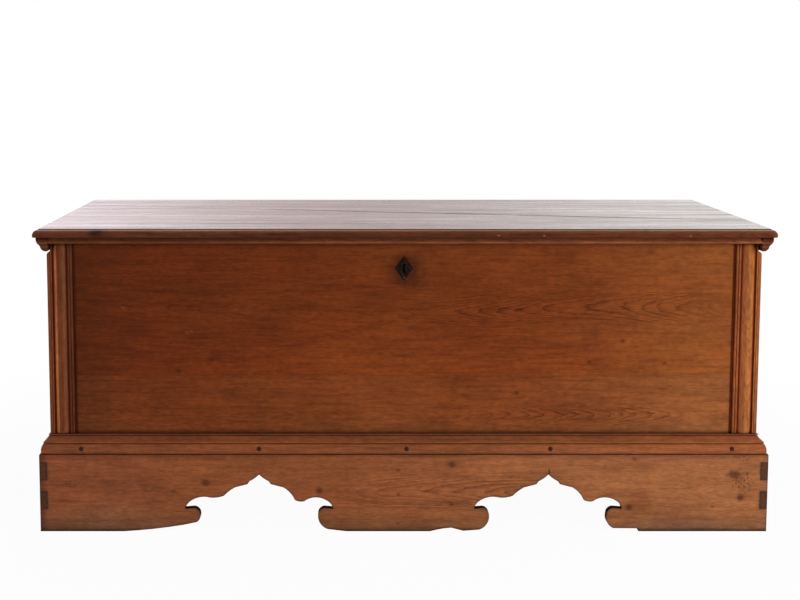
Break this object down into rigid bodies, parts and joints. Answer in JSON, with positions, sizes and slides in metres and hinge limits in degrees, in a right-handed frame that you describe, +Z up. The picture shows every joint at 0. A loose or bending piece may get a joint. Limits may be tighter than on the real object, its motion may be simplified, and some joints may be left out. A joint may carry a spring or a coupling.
{
  "type": "blanket chest",
  "caption": "Low old pine blanket chest with a moulded hinged lid, reeded corner strips, a base moulding and a dovetailed plinth with scrolled arches.",
  "frame": {"origin": "middle of the overall footprint, on the floor", "axes": "+X along the chest to the right as seen from its front, the front faces -Y, +Z up"},
  "size_m": [1.592, 0.634, 0.665],
  "materials": {
    "case_wood": "old satin varnish, figured grain",
    "back_wood": "bare, aged",
    "underframe_wood": "bare, unfinished",
    "lid_wood": "old polished varnish",
    "moulding_wood": "old satin varnish",
    "plinth_wood": "worn satin varnish",
    "peg_wood": "dark end grain",
    "wrought_iron": "dark forged skin",
    "nail_iron": "dark forged skin",
    "lock_steel": "rubbed bright"
  },
  "bodies": {
    "case": {"front_board_lower": "case_wood", "front_board_upper": "case_wood", "end_board_left_lower": "case_wood", "end_board_left_upper": "case_wood", "end_board_right_lower": "case_wood", "end_board_right_upper": "case_wood", "back_board_lower": "back_wood", "back_board_upper": "back_wood", "bottom_board_1": "underframe_wood", "bottom_board_2": "underframe_wood", "bottom_board_3": "underframe_wood", "bottom_board_4": "underframe_wood", "bottom_board_5": "underframe_wood", "batten_front": "underframe_wood", "batten_back": "underframe_wood", "batten_left": "underframe_wood", "batten_right": "underframe_wood", "foot_block_middle": "underframe_wood", "corner_block_front_left": "underframe_wood", "corner_block_front_right": "underframe_wood", "corner_block_back_left": "underframe_wood", "corner_block_back_right": "underframe_wood", "base_moulding_front": "moulding_wood", "base_moulding_left": "moulding_wood", "base_moulding_right": "moulding_wood", "corner_strip_front_left": "moulding_wood", "corner_strip_front_right": "moulding_wood", "corner_strip_side_left": "moulding_wood", "corner_strip_side_right": "moulding_wood", "plinth_front": "plinth_wood", "plinth_left": "plinth_wood", "plinth_right": "plinth_wood", "plinth_back": "plinth_wood", "moulding_pegs": "peg_wood", "plinth_pegs": "peg_wood", "escutcheon": "wrought_iron", "hinge_leaf_left": "wrought_iron", "hinge_leaf_right": "wrought_iron", "lock_plate": "wrought_iron", "lock_cover": "wrought_iron", "escutcheon_nails": "nail_iron", "lock_nails": "nail_iron", "hinge_leaf_nails": "nail_iron", "lock_spring": "lock_steel", "lock_pin": "lock_steel", "hinge_pin_left": "lock_steel", "hinge_pin_right": "lock_steel"},
    "lid": {"lid_front_board": "lid_wood", "lid_back_board": "lid_wood", "lid_cleat_left": "moulding_wood", "lid_cleat_right": "moulding_wood", "lid_front_moulding": "moulding_wood", "hinge_strap_left": "wrought_iron", "hinge_strap_right": "wrought_iron", "hinge_strap_nails": "nail_iron", "lock_staple": "wrought_iron", "staple_nails": "nail_iron"},
    "bolt": {"lock_bolt": "lock_steel"}
  },
  "joints": [
    {"name": "lid_hinge", "type": "hinge", "parent": "case", "child": "lid", "pos_m": [0, 0.2955, 0.642], "axis": [-1, 0, 0], "range_deg": [0, 109]},
    {"name": "lock_bolt_slide", "type": "slide", "parent": "case", "child": "bolt", "axis": [1, 0, 0], "range_m": [0, 0.012]}
  ]
}
